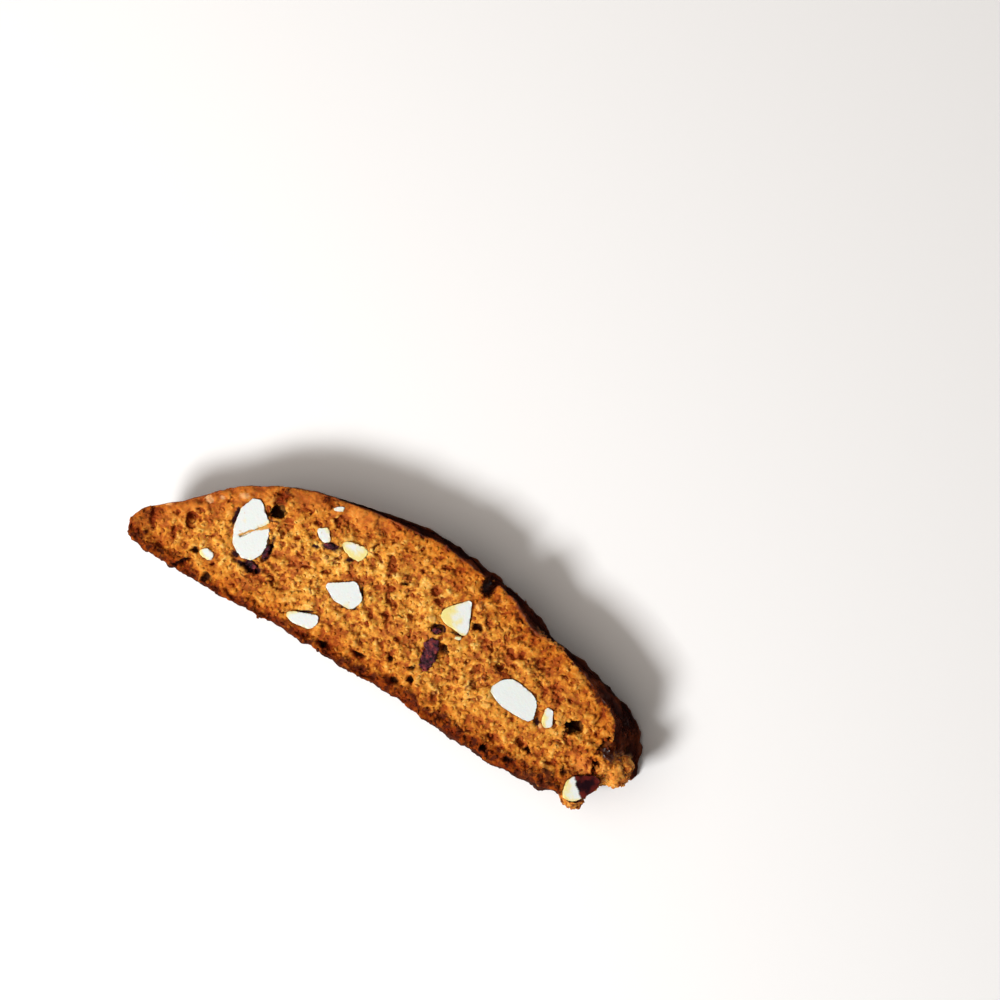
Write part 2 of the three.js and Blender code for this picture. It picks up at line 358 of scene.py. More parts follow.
@dataclass(frozen=True)
class Spot:
    """A rounded place on the slice: how far along and up it lies, and its reach each way.

    The rest is its turn, how deep it reaches, its level above the table and its strength.
    """

    along: float
    up: float
    reach_along: float
    reach_up: float
    turn_deg: float = 0.0
    depth: float = 2.0
    level: float = FACE_MM
    strength: float = 1.0

    def mask(self, add: Adder, place: Feed, ragged: Feed) -> Node:
        """Gives the spot's strength inside it and 0 outside, with a soft, ragged edge.

        Args:
            add: Adds a node.
            place: The place in millimetres.
            ragged: The noise that breaks its edge, around 0.

        Returns:
            The mask's node.
        """
        middle = on_slice(self.along, self.up, self.level)
        offset = add(VECTOR, place, middle, **MINUS)
        turned = add(
            "ShaderNodeVectorRotate", named={"Vector": offset, "Angle": -math.radians(self.turn_deg)},
            rotation_type="Z_AXIS",
        )
        share = add(VECTOR, turned, (self.reach_along, self.reach_up, self.depth), operation="DIVIDE")
        length = add(VECTOR, share, operation="LENGTH")
        wavy = add(MATH, length, ragged, **PLUS)
        return add(RANGE, wavy, *SPOT_EDGE, self.strength, 0.0, **STEP)


def spots(*rows: tuple[float, ...]) -> tuple[Spot, ...]:
    """Returns a spot for each row, whose numbers are the spot's fields in their order."""
    return tuple(Spot(*row) for row in rows)


def any_of(add: Adder, group: tuple[Spot, ...], place: Feed) -> Node:
    """Joins the masks of some spots.

    Args:
        add: Adds a node.
        group: The spots.
        place: The place in millimetres.

    Returns:
        The node of the strongest mask.
    """
    cloud = add(NOISE, place, 1 / 1.3, 4.0, 0.7)
    ragged = add(MATH, cloud, 2.8, -1.4, **MADD)
    masks = [spot.mask(add, place, ragged) for spot in group]
    strongest = masks[0]
    for mask in masks[1:]:
        strongest = add(MATH, strongest, mask, **HIGHEST)
    return strongest


# Pits: sunk into the relief and painted near black inside, painted shade
PITS = spots(
    (14.7, 5.6, 0.8, 0.6), (13.8, 2.3, 1.7, 0.4, 54), (19.4, 2.0, 0.9, 1.0), (25.3, 20.7, 1.6, 1.1, 31, 4.0),
    (26.1, 8.6, 1.5, 1.1), (46.7, 2.6, 1.5, 0.8), (54.1, 4.3, 1.2, 0.7, 10), (54.5, 21.7, 0.9, 0.45, 40),
    (59.6, 7.0, 0.6, 0.6), (62.5, 3.8, 0.9, 0.7), (64.2, 7.6, 0.9, 0.45, 50), (65.2, 5.5, 0.6, 0.5),
    (67.8, 13.9, 1.4, 0.8, -23), (71.2, 21.4, 1.0, 0.8), (69.0, 29.6, 1.3, 2.2, 20, 7.0, FACE_MM, 0.85),
    (84.8, 1.3, 0.8, 0.8), (90.1, 1.9, 1.4, 0.6, 20), (92.4, 5.5, 0.9, 0.6), (97.9, 14.5, 1.8, 0.8, 31, 5.0),
    (97.9, 13.2, 0.8, 0.7, 31, 5.0), (100.9, 5.6, 0.8, 0.9), (105.6, 10.3, 0.8, 0.7),
    (106.0, 8.8, 1.2, 0.4, -59, 3.0), (105.3, 14.4, 0.6, 1.7, -10, 4.0),
)
# Crevices: sunk into the relief and painted dark, painted shade
CREVICES = spots(
    (4.3, 6.8, 0.5, 2.1, 27), (8.0, 10.4, 0.5, 0.5), (9.4, 6.7, 0.5, 1.4, 30), (11.0, 11.1, 1.0, 0.9),
    (11.5, 9.3, 0.9, 0.8), (41.0, 2.3, 2.0, 0.6), (11.8, 13.1, 0.8, 0.5), (18.2, 8.9, 0.4, 0.4),
    (19.3, 5.0, 0.5, 0.5), (24.9, 3.4, 0.8, 0.5), (24.5, 23.0, 1.0, 1.6), (29.2, 15.6, 0.8, 0.7),
    (31.2, 18.3, 0.7, 0.6), (31.2, 8.4, 0.5, 1.1, 30), (29.1, 9.6, 0.7, 0.5), (33.4, 22.8, 0.9, 0.5),
    (36.2, 25.3, 0.6, 0.7), (35.7, 10.2, 0.4, 0.4), (36.3, 5.8, 0.5, 0.5), (39.6, 15.2, 1.0, 0.4, 31),
    (36.1, 14.4, 1.2, 0.35, 31), (33.0, 12.9, 0.9, 0.4, 31), (47.3, 30.6, 1.6, 0.5, -10), (50.4, 23.2, 0.8, 2.1, 31),
    (50.0, 17.7, 0.6, 0.7), (52.9, 17.3, 0.5, 1.3, 31), (52.0, 10.5, 0.4, 1.0, 31), (54.5, 13.8, 0.5, 1.2, 31),
    (56.1, 25.7, 0.5, 0.5), (58.7, 11.3, 0.7, 0.6), (61.8, 11.2, 0.5, 0.5), (59.8, 28.4, 0.7, 0.6),
    (60.4, 23.2, 0.9, 0.9), (62.1, 22.3, 1.3, 0.6, 31), (66.1, 15.8, 0.5, 0.6), (72.9, 14.6, 0.4, 0.9, 20),
    (73.0, 10.4, 0.7, 0.4, 45), (73.9, 20.0, 0.6, 0.4), (76.7, 17.7, 0.6, 0.6), (79.7, 24.0, 1.1, 0.5, 50),
    (81.6, 18.7, 0.8, 0.5), (81.6, 21.4, 0.6, 0.7), (85.6, 21.9, 0.5, 0.5), (85.2, 3.6, 0.8, 0.6),
    (89.5, 16.8, 0.5, 0.8), (94.6, 18.4, 0.7, 0.4), (94.3, 13.0, 0.5, 1.0, 31), (102.8, 15.5, 0.5, 0.4),
    (106.1, 8.5, 0.5, 1.0, 31),
)
# Dark edges beside the nuts: part almond skin, part painted shadow in the gaps beside them
SKIN_AND_SHADOW_EDGES = spots(
    (18.4, 15.6, 0.5, 2.2, 12), (22.2, 9.1, 0.9, 0.6), (27.4, 13.4, 0.7, 2.6, 4), (26.1, 8.6, 2.1, 1.2, 10),
    (24.0, 8.2, 1.4, 0.5), (38.2, 20.3, 2.1, 0.9, 14), (35.1, 18.6, 0.9, 0.5, 10), (64.8, 17.0, 1.4, 1.0, 31),
    (34.9, 20.8, 0.35, 1.0, 54), (42.3, 19.9, 0.9, 0.5, 31), (47.8, 15.4, 0.35, 1.4, 20), (47.0, 11.5, 1.9, 0.35, 20),
    (39.9, 6.3, 2.9, 0.35, 31), (68.5, 18.2, 1.3, 0.3, 4), (91.0, 11.3, 0.8, 0.8), (106.1, 1.9, 1.9, 0.4, 31),
)
SCORCHED = spots(
    (1.5, 6.0, 3.6, 6.5, 0, 6.0, FACE_MM, 0.5), (2.0, 1.4, 2.4, 1.5, 0, 4.0), (3.9, 3.0, 1.6, 0.8, 31),
    (6.8, 1.2, 2.6, 1.1, 10, 4.0), (80.8, 16.1, 3.2, 0.9, -10, 3.0), (98.9, 22.4, 4.5, 1.4, -33, 6.0),
    (24.5, 23.8, 1.4, 2.0), (33.0, 27.6, 1.6, 0.9), (10.5, 1.6, 5.5, 1.7, 6), (66.0, 1.2, 6.0, 1.2),
    (90.0, 1.4, 7.5, 1.6, 2), (47.0, 1.6, 6.0, 1.2, 2, 2.0, FACE_MM, 0.8), (98.5, 2.4, 2.6, 1.8),
)
PALE = spots(
    (17.6, 20.0, 0.9, 0.5, 31), (11.9, 16.0, 0.9, 0.7), (14.1, 17.4, 0.5, 0.35), (5.2, 11.0, 0.8, 0.6, 20),
    (77.7, 13.0, 0.6, 0.6), (69.6, 25.2, 0.7, 0.8), (25.6, 18.1, 1.0, 0.7, 40), (92.1, 10.9, 0.5, 0.5),
)
TORN = spots(
    (109.6, 9.4, 4.7, 4.7, 0, 8.5, 9.4), (105.4, 1.3, 3.0, 2.2, 0, 6.0, 10.6), (103.8, 8.3, 3.4, 1.8, 10, 3.0),
    (86.5, 27.3, 4.5, 1.3, 0, 4.0, 14.0),
)
GLAZED = spots((107.0, 14.1, 1.3, 2.3, -10, 5.0))
BLISTERS = spots(
    (96.6, 27.3, 0.9, 0.6, -33, 2.0, 13.5), (107.5, 19.8, 0.8, 0.6, -50, 2.0, 11.0),
    (89.0, 29.0, 0.8, 0.5, -20, 2.0, 12.5),
)


@dataclass(frozen=True)
class Lumps:
    """Lumps of dough packed side by side, each at its own level, with crevices between them."""

    size_mm: float
    rise_mm: float
    stagger_mm: float
    warp: float = 0.5

    def cells(self, add: Adder, place: Feed) -> Node:
        """Gives the cells: their distance is 0 at a lump's middle and about 0.7 in a crevice.

        Args:
            add: Adds a node.
            place: The place in millimetres.

        Returns:
            The node, with a distance and a colour for each cell.
        """
        waves_mm = self.size_mm / 1.6
        cloud = add(NOISE, place, 1 / waves_mm, 2.0)
        shift = add(VECTOR, cloud.outputs["Color"], self.size_mm * self.warp * 3, **SCALE)
        moved = add(VECTOR, place, shift, **PLUS)
        return add("ShaderNodeTexVoronoi", moved, 1 / self.size_mm)

    def height(self, add: Adder, place: Feed) -> Node:
        """Gives the lumps' height in millimetres, around 0.

        Args:
            add: Adds a node.
            place: The place in millimetres.

        Returns:
            The height's node.
        """
        cells = self.cells(add, place)
        level = add(SPLIT, cells.outputs["Color"]).outputs["X"]
        own = add(MATH, level, self.stagger_mm, -0.5 * self.stagger_mm, **MADD)
        rounded = add(MATH, cells, -self.rise_mm, 0.45 * self.rise_mm, **MADD)
        return add(MATH, rounded, own, **PLUS)


@dataclass(frozen=True)
class Pores:
    """Ragged gas holes in the crumb, where a cloud of noise is densest, sunk and painted dark inside: painted shade.
    """

    size_mm: float
    starts: float
    full: float
    seed_mm: float
    sunk_mm: float
    # How strongly the pores are painted dark: painted shade
    painted_shade: float

    def depth(self, add: Adder, place: Feed) -> Node:
        """Returns the node that gives 1 in the pores and 0 outside, from places in millimetres."""
        moved = add(VECTOR, place, (self.seed_mm,) * 3, **PLUS)
        return add(RANGE, add(NOISE, moved, 1 / self.size_mm, 2.2, 0.6, 2.0, 0.8), self.starts, self.full, **STEP)


COARSE_LUMPS = Lumps(size_mm=3.6, rise_mm=0.8, stagger_mm=0.4)
FINE_LUMPS = Lumps(size_mm=1.25, rise_mm=0.3, stagger_mm=0.32)
LARGE_PORES = Pores(size_mm=2.3, starts=0.585, full=0.665, seed_mm=40.0, sunk_mm=0.55, painted_shade=0.75)
SMALL_PORES = Pores(size_mm=1.3, starts=0.6, full=0.72, seed_mm=90.0, sunk_mm=0.12, painted_shade=0.45)
DOUGH_MM = 1.9


@dataclass(frozen=True)
class BakedCrumb:
    """Sweet dough baked twice and cut: a dry, granular crumb under a crust brushed with egg.

    The crumb is matte and scatters some light under its surface. Its colour is painted golden on its crests
    and red-brown in its pores and crevices: painted light and shade. The egg wash dries to a clear, red-brown
    film that gives the dome its gloss.
    """

    crest: str = "#eebf68"
    gold: str = "#de9e40"
    tan: str = "#cb8430"
    brown: str = "#b0642a"
    # Painted shade: the dark red-browns painted into low places, crevices, gaps between lumps and pores
    crevice: str = "#a14a18"
    pore: str = "#80300e"
    # Painted shade: the near black painted deep in holes and pits
    deep: str = "#1d0703"
    pale: str = "#efc08a"
    worn: str = "#dc9250"
    # Painted light: the torn end and the crumb flakes are painted lighter, as if lit where they lie in shadow
    torn: str = "#e08a38"
    toasted: str = "#e8caa2"
    scorched: str = "#b48a64"
    burnt: str = "#43160a"
    glaze_light: str = "#8f3f14"
    glaze: str = "#481404"
    glaze_dark: str = "#190502"
    base: str = "#32140c"
    base_light: str = "#5c2e1a"
    # Painted shadow and skin: the purple black painted beside the nuts
    nut_skin: str = "#2c0f14"
    ior: float = 1.45
    glow: Triple = (1.0, 0.4, 0.15)
    glow_mm: float = 0.9
    crumb_roughness: float = 0.85
    glaze_roughness: float = 0.3
    crumb_scatter: float = 0.42
    crumb_gloss: float = 0.12
    glaze_gloss: float = 0.34

    def material(self) -> Material:
        """Makes the finish of the whole slice.

        Returns:
            The material.
        """
        made, add = start_finish("baked_crumb_and_egg_washed_crust")
        place = add(KEPT, attribute_name="rest_mm").outputs["Vector"]
        names = "crust base_side rim toast worn sunk hollow crevice pale nut_skin fresh shade arris".split()
        kept = {name: add(KEPT, attribute_name=name).outputs["Fac"] for name in names}
        speckle = add(NOISE, place, 1 / 0.8, 0.6, 0.5)
        fine = FINE_LUMPS.cells(add, place)
        crust = self._crust(add, place, kept, speckle)
        colour = add(MIX, kept["crust"], self._crumb(add, place, kept, fine, speckle), crust, **COLOUR)

        glazed = kept["crust"]
        for elsewhere in ("base_side", "hollow"):
            glazed = add(MATH, glazed, add(MATH, 1.0, kept[elsewhere], **MINUS), **TIMES)
        patches = add(NOISE, place, 1 / 2.6, 3.0)
        film = add(MATH, patches, 0.3, self.glaze_roughness - 0.15, **MADD)
        rough = add(MIX, glazed, self.crumb_roughness, film)
        gloss = add(MIX, glazed, self.crumb_gloss, self.glaze_gloss)
        scatter = add(MIX, kept["crust"], self.crumb_scatter, 0.0)
        grit = add(MATH, fine, -0.5, **TIMES)
        grit = add(MATH, speckle, 0.5, grit, **MADD)
        wrinkles = add(NOISE, place, 1 / 1.8, 3.0, 0.55)
        wrinkles = add(MATH, wrinkles, 2.2, **TIMES)
        height = add(MIX, glazed, grit, wrinkles)
        bump = add(BUMP, named={"Height": height, "Strength": 0.22, "Distance": 0.35 * MM})
        return end_finish(made, {
            "Base Color": colour, "Roughness": rough, "Normal": bump, "Specular IOR Level": gloss, "IOR": self.ior,
            "Subsurface Weight": scatter, "Subsurface Radius": self.glow, "Subsurface Scale": self.glow_mm * MM,
        })

    def _crumb(self, add: Adder, place: Feed, kept: dict[str, Socket], fine: Node, speckle: Feed) -> Node:
        """Colours the crumb by how deep it lies among its lumps, as painted light and shade, and by how near
        the oven's heat it was.

        Args:
            add: Adds a node.
            place: The place in millimetres.
            kept: What the mesh keeps, by name.
            fine: The node of the fine lumps.
            speckle: The finest noise.

        Returns:
            The colour's node.
        """
        cell = add(SPLIT, fine.outputs["Color"]).outputs["X"]
        dough = add(NOISE, place, 1 / DOUGH_MM, 2.0, 0.6)
        level = add(MATH, dough, -0.75, 0.88, **MADD)
        # Painted light and shade: the lumps' distance lightens their tops and darkens the crumb between them
        for value, share in (
            (fine.outputs["Distance"], 0.36), (COARSE_LUMPS.cells(add, place), 0.3), (speckle, 0.12),
            (add(NOISE, place, 1 / 7.0, 2.0), 0.48), (cell, -0.16), (kept["fresh"], -0.05),
        ):
            level = add(MATH, value, share, level, **MADD)
        level = add(MATH, level, kept["shade"], **PLUS)
        halved = add(MATH, level, 0.5, **TIMES)
        stops = {0.38: self.crest, 0.475: self.gold, 0.545: self.tan, 0.615: self.brown}
        colour = add(RAMP, halved, stops=stops)

        # Painted shade: the gaps between lumps and the pores are painted dark
        between = add(MATH, speckle, 0.5, fine.outputs["Distance"], **MADD)
        gap_shade = add(RANGE, between, 0.93, 1.1, 0.0, 0.5, **STEP)
        small, large = (add(MATH, pores.depth(add, place), pores.painted_shade, **TIMES)
                        for pores in (SMALL_PORES, LARGE_PORES))
        open_crumb = add(MATH, kept["worn"], -0.5, 1.0, **MADD)
        gap_shade, small, large = (add(MATH, pores, open_crumb, **TIMES) for pores in (gap_shade, small, large))
        blotch = add(RANGE, add(NOISE, place, 1 / 1.2, 3.0, 0.6), 0.46, 0.56, **STEP)
        burnt = add(MATH, kept["toast"], blotch, **TIMES)
        # Layers below paint shade into low places, pores, crevices, holes and beside the nuts, and light onto the
        # torn end
        for share, strength, code, blend in (
            (kept["worn"], 0.45, self.worn, "MIX"), (kept["fresh"], 0.55, self.torn, "MIX"),
            (kept["sunk"], 0.65, self.crevice, "MIX"), (kept["rim"], 1.0, self.toasted, "MULTIPLY"),
            (kept["toast"], 1.0, self.scorched, "MULTIPLY"), (small, 1.0, self.crevice, "MIX"),
            (gap_shade, 1.0, self.pore, "MIX"), (large, 1.0, self.pore, "MIX"), (burnt, 0.85, self.burnt, "MIX"),
            (kept["pale"], 0.5, self.pale, "MIX"), (kept["crevice"], 0.85, self.pore, "MIX"),
            (kept["hollow"], 0.93, self.deep, "MIX"), (kept["nut_skin"], 1.0, self.nut_skin, "MIX"),
        ):
            share = add(MATH, share, strength, **TIMES)
            colour = add(MIX, share, colour, linear(code), **COLOUR, blend_type=blend)
        return colour

    def _crust(self, add: Adder, place: Feed, kept: dict[str, Socket], speckle: Feed) -> Node:
        """Colours the glazed dome, painted lighter near the cut sides as painted light, and the dry, dark base.

        Args:
            add: Adds a node.
            place: The place in millimetres.
            kept: What the mesh keeps, by name.
            speckle: The finest noise.

        Returns:
            The colour's node.
        """
        blotches = add(NOISE, place, 1 / 6.0, 4.0, 0.65)
        # Painted light: the glaze is painted lighter near the cut sides, as light on the wall's upper edge
        thin = add(MATH, kept["arris"], 0.34, blotches, **MADD)
        stops = {0.32: self.glaze_dark, 0.54: self.glaze, 0.8: self.glaze_light}
        glazed = add(RAMP, thin, stops=stops)
        dusty = add(MATH, blotches, 0.6, **TIMES)
        dusty = add(MATH, speckle, 0.5, dusty, **MADD)
        share = add(RANGE, dusty, 0.4, 0.85, **STEP)
        dry = add(MIX, share, linear(self.base), linear(self.base_light), **COLOUR)
        return add(MIX, kept["base_side"], glazed, dry, **COLOUR)


@dataclass(frozen=True)
class AlmondKernel:
    """Blanched flesh of a chopped almond: dense, oily and slightly translucent, ivory to cream.

    The knife leaves the cut face flat and pale. It turns creamy towards its edges, and papery skin
    stays on where the nut's outside shows.
    """

    flesh: str = "#dce1df"
    cream: str = "#e4d688"
    toasted: str = "#cf9845"
    skin: str = "#5e1a14"
    skin_dark: str = "#1c060d"
    roughness: float = 0.45
    skin_roughness: float = 0.28
    ior: float = 1.46
    gloss: float = 0.35
    scatter: float = 0.15
    glow_mm: float = 0.5

    def material(self) -> Material:
        """Makes the finish of the cut nuts.

        Returns:
            The material.
        """
        made, add = start_finish("cut_almond_flesh")
        place = add(KEPT, attribute_name="rest_mm").outputs["Vector"]
        kept = {name: add(KEPT, attribute_name=name).outputs["Fac"]
                for name in ("cut_edge", "cream", "skin", "crack")}
        clouds = add(NOISE, place, 1 / 2.6, 3.0)
        edge = add(MATH, kept["cut_edge"], 0.2, clouds, **MADD)
        edge = add(MATH, edge, kept["cream"], **PLUS)
        share = add(RANGE, edge, 0.62, 0.95, **STEP)
        colour = add(MIX, share, linear(self.flesh), linear(self.cream), **COLOUR)
        flecks = add(RANGE, add(NOISE, place, 1 / 0.9, 2.0), 0.68, 0.76, 0.0, 0.6, **STEP)
        streaks = add(RANGE, add(NOISE, place, 1 / 2.2, 3.0, 0.6), 0.42, 0.66, **STEP)
        skin = add(MIX, streaks, linear(self.skin_dark), linear(self.skin), **COLOUR)
        brown = linear(self.toasted)
        for share, layer in ((flecks, brown), (kept["crack"], brown), (kept["skin"], skin)):
            colour = add(MIX, share, colour, layer, **COLOUR)
        rough = add(MIX, kept["skin"], self.roughness, self.skin_roughness)
        grain = add(NOISE, place, 1 / 0.5, 3.0)
        bump = add(BUMP, named={"Height": grain, "Strength": 0.35, "Distance": 0.12 * MM})
        return end_finish(made, {
            "Base Color": colour, "Roughness": rough, "Normal": bump, "Specular IOR Level": self.gloss,
            "IOR": self.ior, "Subsurface Weight": self.scatter, "Subsurface Scale": self.glow_mm * MM,
        })


@dataclass(frozen=True)
class AlmondSkin:
    """The nut's papery skin, darkened in the oven from red-brown to a purple black, with a faint sheen."""

    red: str = "#86342e"
    purple: str = "#4c1a2a"
    dark: str = "#130507"
    roughness: float = 0.55
    gloss: float = 0.18

    def material(self) -> Material:
        """Makes the finish of the skins.

        Returns:
            The material.
        """
        made, add = start_finish("roasted_almond_skin")
        place = add(VECTOR, add("ShaderNodeTexCoord").outputs["Object"], 1 / MM, **SCALE)
        patches = add(NOISE, place, 1 / 1.3, 3.0, 0.65)
        colour = add(RAMP, patches, stops={0.38: self.dark, 0.5: self.purple, 0.62: self.red})
        veins = add(NOISE, place, 1 / 0.7, 3.0, 0.6)
        bump = add(BUMP, named={"Height": veins, "Strength": 0.6, "Distance": 0.35 * MM})
        fed = {"Base Color": colour, "Normal": bump, "Roughness": self.roughness, "Specular IOR Level": self.gloss}
        return end_finish(made, fed)


@dataclass
class Slice:
    """The slice itself, crumb and crust in one skin, with its almond pockets.

    Each pair of millimetres says where a mask starts and where it is full: right, left and browner along
    the frame, rim, toast and worn from the outer wall, arris and hollow from the nearer cut side. Arris
    paints light on the glaze near the cut sides; hollow paints shade, near black, deep in the holes.
    """

    node: str = "biscuit"
    voxel_mm: float = 0.5
    smoothing: int = 3
    steep: float = 0.55
    flat: float = 0.6
    refined_mm: float = 3.0
    dough_mm: float = 1.4
    pit_mm: float = 1.3
    crevice_mm: float = 0.7
    skin_mm: float = 0.2
    hug_mm: float = 0.15
    crag_mm: float = 2.6
    crag_waves_mm: float = 2.2
    wrinkle_mm: float = 0.7
    wilder_mm: float = 1.4
    wrinkle_waves_mm: float = 3.0
    blister_mm: float = 0.7
    # The way from a nut towards which its skin and painted shadow reach furthest
    shadow_side: Triple = (0.85, -0.5, 0.0)
    right_mm: Pair = (-14.0, 12.0)
    left_mm: Pair = (-2.0, -18.0)
    browner_mm: Pair = (5.0, 48.0)
    rim_mm: Pair = (9.5, 0.8)
    toast_mm: Pair = (1.4, 0.1)
    worn_mm: Pair = (5.0, 1.5)
    arris_mm: Pair = (3.5, 0.5)
    hollow_shade_mm: Pair = (1.3, 2.3)
    finish: BakedCrumb = field(default_factory=BakedCrumb)

    def build(self) -> Piece:
        """Builds the slice.

        Returns:
            The finished piece.
        """
        wall, nuts = self._wall(), self._nuts()
        piece = copy_of_node(self.node, "biscuit_crumb_and_crust")
        finish_modifier(piece, "REMESH", mode="VOXEL", voxel_size=self.voxel_mm * MM)
        finish_modifier(piece, "SMOOTH", factor=0.5, iterations=self.smoothing)
        self._refine_shown_side(piece)
        finish_modifier(piece, "NODES", node_group=self._relief(wall, nuts))
        for helper in (wall, nuts):
            bpy.data.objects.remove(helper)
        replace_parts(dress(piece, self.finish.material()), self.node)
        return piece

    def _wall(self) -> Piece:
        """Makes a helper of the outer wall alone, to measure how near the crust is.

        Returns:
            The helper, which is removed later.
        """
        wall = copy_of_node(self.node, "wall_helper")
        steep = [abs(face.normal.z) < self.steep for face in wall.data.polygons]
        select_faces(wall, [not flag for flag in steep])
        bpy.ops.mesh.delete(type="FACE")
        bpy.ops.object.mode_set(mode="OBJECT")
        outermost = max(wall.data.polygons, key=lambda face: face.center.x).index
        select_faces(wall, [face.index == outermost for face in wall.data.polygons])
        bpy.ops.mesh.select_linked()
        bpy.ops.mesh.select_all(action="INVERT")
        bpy.ops.mesh.delete(type="FACE")
        bpy.ops.object.mode_set(mode="OBJECT")
        return wall

    def _nuts(self) -> Piece:
        """Makes a helper of all the almonds, to measure how near they are.

        Returns:
            The helper, which is removed later.
        """
        helpers = [copy_of_node(name, name + "_helper") for name in frame["nodes"] if name.startswith("almond_")]
        pick(*helpers)
        bpy.ops.object.join()
        return helpers[0]

    def _refine_shown_side(self, piece: Piece) -> None:
        """Halves the cells of the cut side that shows.

        Args:
            piece: The slice.
        """
        lowest = (FACE_MM - self.refined_mm) * MM
        select_faces(piece, [f.normal.z > self.flat and f.center.z > lowest for f in piece.data.polygons])
        bpy.ops.mesh.subdivide(number_cuts=1)
        bpy.ops.object.mode_set(mode="OBJECT")

    def _relief(self, wall: Piece, nuts: Piece) -> Tree:
        """Raises lumps and sinks pores, and keeps what the finish reads of them.

        Args:
            wall: The helper that holds the outer wall.
            nuts: The helper that holds the almonds.

        Returns:
            The tree of geometry nodes.
        """
        tree, add, mesh, result = geometry_tree("crumb_and_crust_relief")
        normal = add("GeometryNodeInputNormal")
        place = here_mm(add)
        from_wall, wall_way = self._distance(add, wall)
        from_nut, nut_way = self._distance(add, nuts)
        masks = self._baked(add, place, normal, from_wall, wall_way)
        masks |= self._opened(add, place, from_wall, from_nut, nut_way)
        clear = add(RANGE, from_nut, 0.4, 1.0, **STEP)
        solid = add(MATH, 1.0, masks["hollow"], **MINUS)
        for share in (clear, solid):
            masks["crust"] = add(MATH, masks["crust"], share, **TIMES)
        height = self._height(add, place, masks, from_nut)
        # Painted shade: where the relief lies low, the finish paints the crumb a dark crevice red-brown
        masks["sunk"] = add(RANGE, height, -0.15, -0.8, **STEP)
        mesh = keep_on_mesh(add, mesh, {**masks, "height": height, "near_nut": from_nut})
        held = add(HELD, "height", **NUMBER)
        metres = add(MATH, held, MM, **TIMES)
        offset = add(VECTOR, normal, metres, **SCALE)
        end_moved(add, mesh, offset, result)
        return tree

    def _baked(self, add: Adder, place: Feed, normal: Feed, from_wall: Feed, wall_way: Feed) -> dict[str, Feed]:
        """Finds where the oven browned the slice.

        Args:
            add: Adds a node.
            place: The place in millimetres.
            normal: The surface's direction.
            from_wall: The distance from the outer wall, in millimetres.
            wall_way: The direction away from the wall.

        Returns:
            The masks by name.
        """
        axes = add(SPLIT, place)
        broad = add(MATH, add(NOISE, place, 1 / 3.0, 3.0), -0.5, **PLUS)
        away = add(SPLIT, wall_way).outputs["Y"]
        near_base = add(RANGE, away, 0.2, 0.8, **STEP)
        facing = add(SPLIT, normal)
        base_side = add(RANGE, facing.outputs["Y"], -0.35, -0.7, **STEP)
        low = add(RANGE, axes.outputs["Y"], HEEL_MM[1] + 2.6, HEEL_MM[1] + 1.4, **STEP)
        base_side = add(MATH, base_side, low, **HIGHEST)
        upright = add(MATH, facing.outputs["Z"], operation="ABSOLUTE")
        upright = add(RANGE, upright, 0.85, 0.55, **STEP)
        right = add(RANGE, axes.outputs["X"], *self.right_mm, **STEP)
        left = add(RANGE, axes.outputs["X"], *self.left_mm, **STEP)

        glazed = any_of(add, GLAZED, place)
        # The torn end has no crust, and the finish paints light on it
        torn = any_of(add, TORN, place)
        torn = add(MATH, torn, glazed, **MINUS, use_clamp=True)
        whole = add(MATH, 1.0, torn, **MINUS)
        thick = add(MATH, near_base, 0.4, 0.5, **MADD)
        skin = add(MATH, from_wall, thick, operation="DIVIDE")
        crust = add(RANGE, skin, 1.0, 0.35, **STEP)
        crust = add(MATH, crust, upright, **TIMES)
        wavy = add(MATH, broad, 6.0, from_wall, **MADD)
        rim = add(RANGE, wavy, *self.rim_mm, **STEP)
        browner = add(RANGE, axes.outputs["X"], *self.browner_mm, 0.0, 0.6, **STEP)
        rim = add(MATH, rim, browner, **HIGHEST)
        reach = add(MATH, right, 1.15, 0.85, **MADD)
        reach = add(MATH, reach, near_base, **TIMES)
        finer = add(MATH, add(NOISE, place, 1 / 1.1, 4.0, 0.7), -0.5, **PLUS)
        band = add(MATH, broad, 3.6, from_wall, **MADD)
        band = add(MATH, finer, 3.0, band, **MADD)
        band = add(MATH, band, reach, **MINUS)
        toast = add(RANGE, band, *self.toast_mm, **STEP)
        mild = add(MATH, near_base, 0.75, 0.25, **MADD)
        toast = add(MATH, toast, mild, **TIMES)
        toast = add(MATH, toast, any_of(add, SCORCHED, place), **HIGHEST)
        worn = add(RANGE, wavy, *self.worn_mm, **STEP)
        for share in (left, *(add(MATH, 1.0, mask, **MINUS) for mask in (near_base, toast))):
            worn = add(MATH, worn, share, **TIMES)
        level = axes.outputs["Z"]
        rest = add(MATH, FACE_MM, level, **MINUS)
        depth = add(MATH, level, rest, **LOWEST)
        depth = add(MATH, broad, 2.0, depth, **MADD)
        # Painted light on the glaze near the cut sides: full on the left, half elsewhere
        arris = add(RANGE, depth, *self.arris_mm, **STEP)
        browned = add(MATH, left, 0.5, **HIGHEST)
        arris = add(MATH, arris, browned, **TIMES)
        crust = add(MATH, crust, glazed, **HIGHEST)
        found = {"crust": crust, "rim": rim, "toast": toast}
        found = {name: add(MATH, mask, whole, **TIMES) for name, mask in found.items()}
        return {**found, "base_side": base_side, "worn": worn, "fresh": torn, "arris": arris, "right": right,
                "upright": upright}

